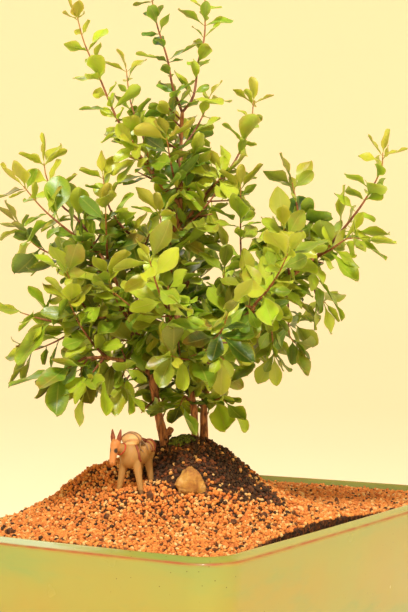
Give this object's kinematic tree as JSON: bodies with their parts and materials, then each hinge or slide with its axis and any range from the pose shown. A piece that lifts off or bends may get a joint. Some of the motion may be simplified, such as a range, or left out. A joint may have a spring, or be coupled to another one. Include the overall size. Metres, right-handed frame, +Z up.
{
  "type": "pomegranate bonsai",
  "caption": "Multi-stemmed dwarf pomegranate bonsai with leafy shoots on a gravel mound in a glazed rectangular pot, with a stone and a clay pack animal.",
  "frame": {"origin": "on the table, under the middle of the pot", "axes": "+X along the pot's long side, +Y along its short side, +Z up; the viewer's side of the picture is towards -X and -Y"},
  "size_m": [0.354, 0.2588, 0.4411],
  "materials": {
    "glaze": "celadon green-yellow glaze, thin and brown at the rim's outer edge",
    "gravel": "matt fired-clay grains, orange and tan with some dark ones",
    "stone": "rough tan stone",
    "clay": "painted fired clay, cream with red-brown ears and straps",
    "bark": "red-brown bark",
    "leaf_yellow_green": "semi-gloss leaf, yellow green",
    "leaf_mid_green": "semi-gloss leaf, mid green",
    "leaf_dark_green": "semi-gloss leaf, dark green",
    "leaf_bright_green": "semi-gloss leaf, bright green"
  },
  "bodies": {
    "root": {"pack_animal": "clay", "pot": "glaze", "shoot_far_left": "leaf_yellow_green", "shoot_far_left_low": "leaf_mid_green", "shoot_fill_back_end": "leaf_mid_green", "shoot_fill_back_left": "leaf_dark_green", "shoot_fill_back_left_end": "leaf_mid_green", "shoot_fill_back_left_side": "leaf_dark_green", "shoot_fill_back_right_end": "leaf_bright_green", "shoot_fill_back_right_side": "leaf_yellow_green", "shoot_fill_far_left_front": "leaf_bright_green", "shoot_fill_front_end": "leaf_yellow_green", "shoot_fill_front_left": "leaf_mid_green", "shoot_fill_front_low": "leaf_mid_green", "shoot_fill_front_right_end": "leaf_dark_green", "shoot_fill_high_back": "leaf_bright_green", "shoot_fill_high_front": "leaf_dark_green", "shoot_fill_high_right": "leaf_yellow_green", "shoot_fill_left_branch_front": "leaf_dark_green", "shoot_fill_left_stem_back": "leaf_mid_green", "shoot_fill_left_stem_front": "leaf_yellow_green", "shoot_fill_low_left_up": "leaf_yellow_green", "shoot_fill_middle_back": "leaf_yellow_green", "shoot_fill_middle_front": "leaf_bright_green", "shoot_fill_middle_right": "leaf_mid_green", "shoot_fill_right_front_end": "leaf_bright_green", "shoot_fill_right_front_side": "leaf_yellow_green", "shoot_fill_right_stem_back": "leaf_dark_green", "shoot_fill_right_stem_end": "leaf_bright_green", "shoot_fill_right_stem_front": "leaf_mid_green", "shoot_fork_tip": "leaf_dark_green", "shoot_inner_left": "leaf_mid_green", "shoot_inner_tip": "leaf_bright_green", "shoot_left_middle_tip": "leaf_mid_green", "shoot_left_outer_tip": "leaf_dark_green", "shoot_left_tip": "leaf_yellow_green", "shoot_low_left_inner": "leaf_yellow_green", "shoot_low_left_middle": "leaf_bright_green", "shoot_low_left_outer": "leaf_dark_green", "shoot_low_middle": "leaf_dark_green", "shoot_low_middle_left": "leaf_mid_green", "shoot_low_middle_right": "leaf_bright_green", "shoot_low_right": "leaf_mid_green", "shoot_right_centre": "leaf_yellow_green", "shoot_right_end_twig": "leaf_bright_green", "shoot_right_hanging": "leaf_yellow_green", "shoot_right_tip": "leaf_bright_green", "shoot_right_twig": "leaf_dark_green", "shoot_thin_upright": "leaf_mid_green", "shoot_top_left": "leaf_dark_green", "shoot_top_right": "leaf_bright_green", "shoot_upper_left": "leaf_yellow_green", "soil": "gravel", "stone": "stone", "trunk_and_branches": "bark"}
  },
  "joints": []
}
